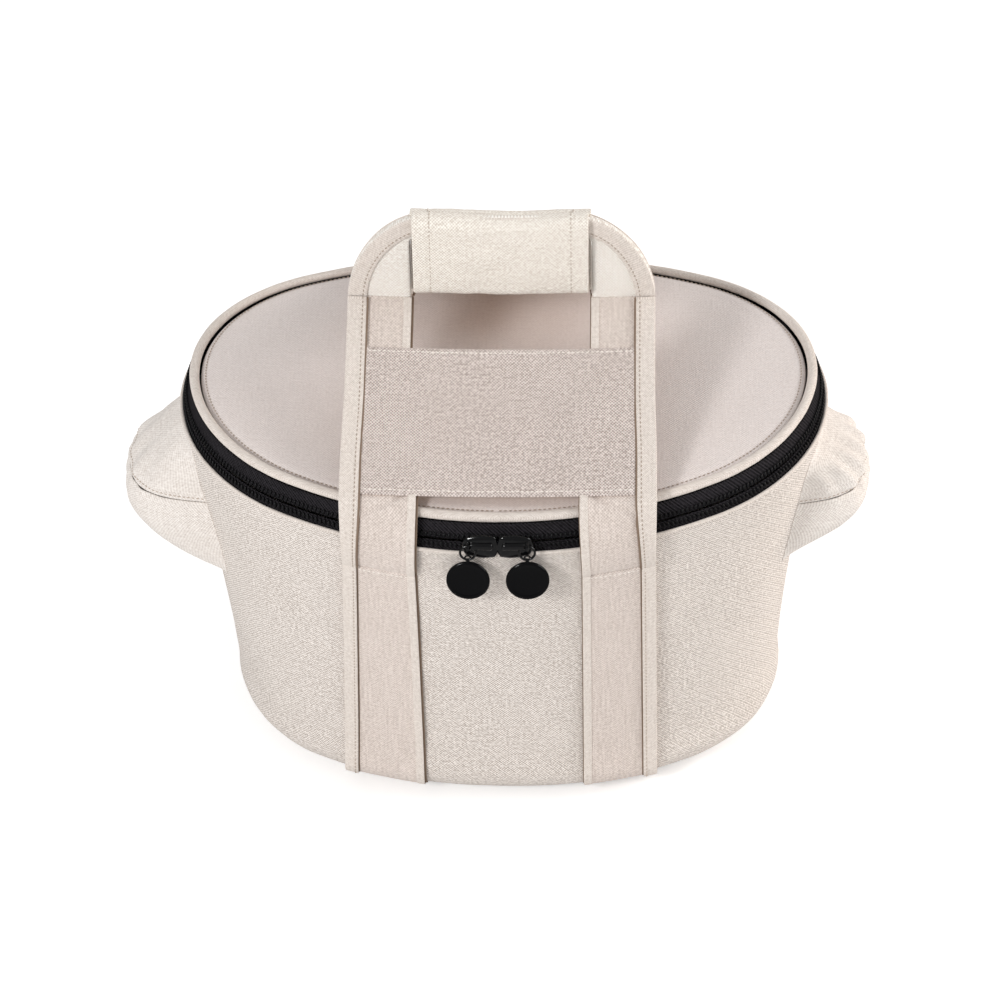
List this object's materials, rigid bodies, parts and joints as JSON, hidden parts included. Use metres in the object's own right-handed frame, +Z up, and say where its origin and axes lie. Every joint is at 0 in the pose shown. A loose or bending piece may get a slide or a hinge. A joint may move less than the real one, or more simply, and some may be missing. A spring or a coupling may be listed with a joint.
{
  "type": "dutch oven tote bag",
  "caption": "Padded oval canvas carrier for a lidded pot, with a zipped lid, domed end pockets for the pot's handles, and strap handles whose padded grips meet above the lid.",
  "frame": {"origin": "centre of the base's underside, where the bag stands", "axes": "+X to the right end pocket, +Y to the back where the lid is hinged, +Z up"},
  "size_m": [0.4268, 0.273, 0.3473],
  "materials": {
    "cream_canvas": "natural cream cotton canvas, plain weave, matt",
    "grey_canvas": "warm grey cotton canvas, plain weave, matt",
    "cream_binding": "cream folded canvas binding and round piping, matt",
    "black_zip": "black herringbone zip tape and nylon coil",
    "black_metal": "gloss black enamelled zinc",
    "foam": "closed-cell foam, light grey",
    "lining": "smooth woven lining, light grey",
    "board": "stiff base board",
    "hook_strip": "cream hook-and-loop strip"
  },
  "bodies": {
    "bag_body": {"front_panel": "cream_canvas", "rear_panel": "cream_canvas", "wall_foam": "foam", "wall_lining": "lining", "base_panel": "cream_canvas", "base_board": "board", "base_foam": "foam", "base_lining": "lining", "rim_hem": "lining", "right_ear_top": "cream_canvas", "left_ear_top": "cream_canvas", "right_ear_lower": "cream_canvas", "left_ear_lower": "cream_canvas", "right_ear_lining": "lining", "left_ear_lining": "lining", "lower_zip_tape": "black_zip", "lower_zip_coil": "black_zip", "rear_gusset_lower": "cream_canvas", "front_right_body_strap": "grey_canvas", "front_left_body_strap": "grey_canvas", "rear_right_body_strap": "grey_canvas", "rear_left_body_strap": "grey_canvas", "front_right_body_edging": "cream_binding", "front_left_body_edging": "cream_binding", "rear_right_body_edging": "cream_binding", "rear_left_body_edging": "cream_binding"},
    "lid": {"lid_piping": "cream_binding", "lid_panel": "grey_canvas", "lid_foam": "foam", "lid_lining": "lining", "upper_zip_tape": "black_zip", "upper_zip_coil": "black_zip", "rear_gusset_upper": "cream_canvas"},
    "front_handle": {"front_right_handle_strap": "grey_canvas", "front_left_handle_strap": "grey_canvas", "front_right_strap_edging": "cream_binding", "front_left_strap_edging": "cream_binding", "front_handle_panel": "grey_canvas", "front_handle_arch": "cream_canvas", "front_arch_edging": "cream_binding", "front_grip_cover": "cream_canvas", "front_grip_foam": "foam", "front_grip_fastener": "hook_strip"},
    "rear_handle": {"rear_right_handle_strap": "grey_canvas", "rear_left_handle_strap": "grey_canvas", "rear_right_strap_edging": "cream_binding", "rear_left_strap_edging": "cream_binding", "rear_handle_panel": "grey_canvas", "rear_handle_arch": "cream_canvas", "rear_arch_edging": "cream_binding", "rear_grip_cover": "cream_canvas", "rear_grip_foam": "foam", "rear_grip_fastener": "hook_strip"},
    "right_zip_slider": {"right_slider": "black_metal"},
    "right_pull": {"right_pull_ring": "black_metal", "right_pull_disc": "black_metal"},
    "left_zip_slider": {"left_slider": "black_metal"},
    "left_pull": {"left_pull_ring": "black_metal", "left_pull_disc": "black_metal"}
  },
  "joints": [
    {"name": "lid_hinge", "type": "hinge", "parent": "bag_body", "child": "lid", "pos_m": [0, 0.1295, 0.2165], "axis": [-1, 0, 0], "range_deg": [0, 100]},
    {"name": "front_handle_swing", "type": "hinge", "parent": "bag_body", "child": "front_handle", "pos_m": [0, -0.1279, 0.19], "axis": [1, 0, 0], "range_deg": [0, 190], "deforming": ["front_right_handle_strap", "front_left_handle_strap", "front_right_strap_edging", "front_left_strap_edging", "front_handle_panel"]},
    {"name": "rear_handle_swing", "type": "hinge", "parent": "bag_body", "child": "rear_handle", "pos_m": [0, 0.1279, 0.19], "axis": [-1, 0, 0], "range_deg": [0, 150]},
    {"name": "right_slider_travel", "type": "hinge", "parent": "bag_body", "child": "right_zip_slider", "pos_m": [0, 0.13228, 0.2165], "axis": [0, 0, 1], "range_deg": [0, 3.2]},
    {"name": "right_pull_swing", "type": "hinge", "parent": "right_zip_slider", "child": "right_pull", "pos_m": [0.01625, -0.13677, 0.21908], "axis": [-0.9994, -0.0355, 0], "range_deg": [0, 100]},
    {"name": "left_slider_travel", "type": "hinge", "parent": "bag_body", "child": "left_zip_slider", "pos_m": [0, 0.13228, 0.2165], "axis": [0, 0, -1], "range_deg": [0, 3.2]},
    {"name": "left_pull_swing", "type": "hinge", "parent": "left_zip_slider", "child": "left_pull", "pos_m": [-0.01625, -0.13677, 0.21908], "axis": [-0.9994, 0.0355, 0], "range_deg": [0, 100]}
  ],
  "couplings": [
    {"joint": "front_handle_swing", "follows": "lid_hinge", "ratio": 1.9},
    {"joint": "rear_handle_swing", "follows": "lid_hinge", "ratio": 1.5}
  ]
}
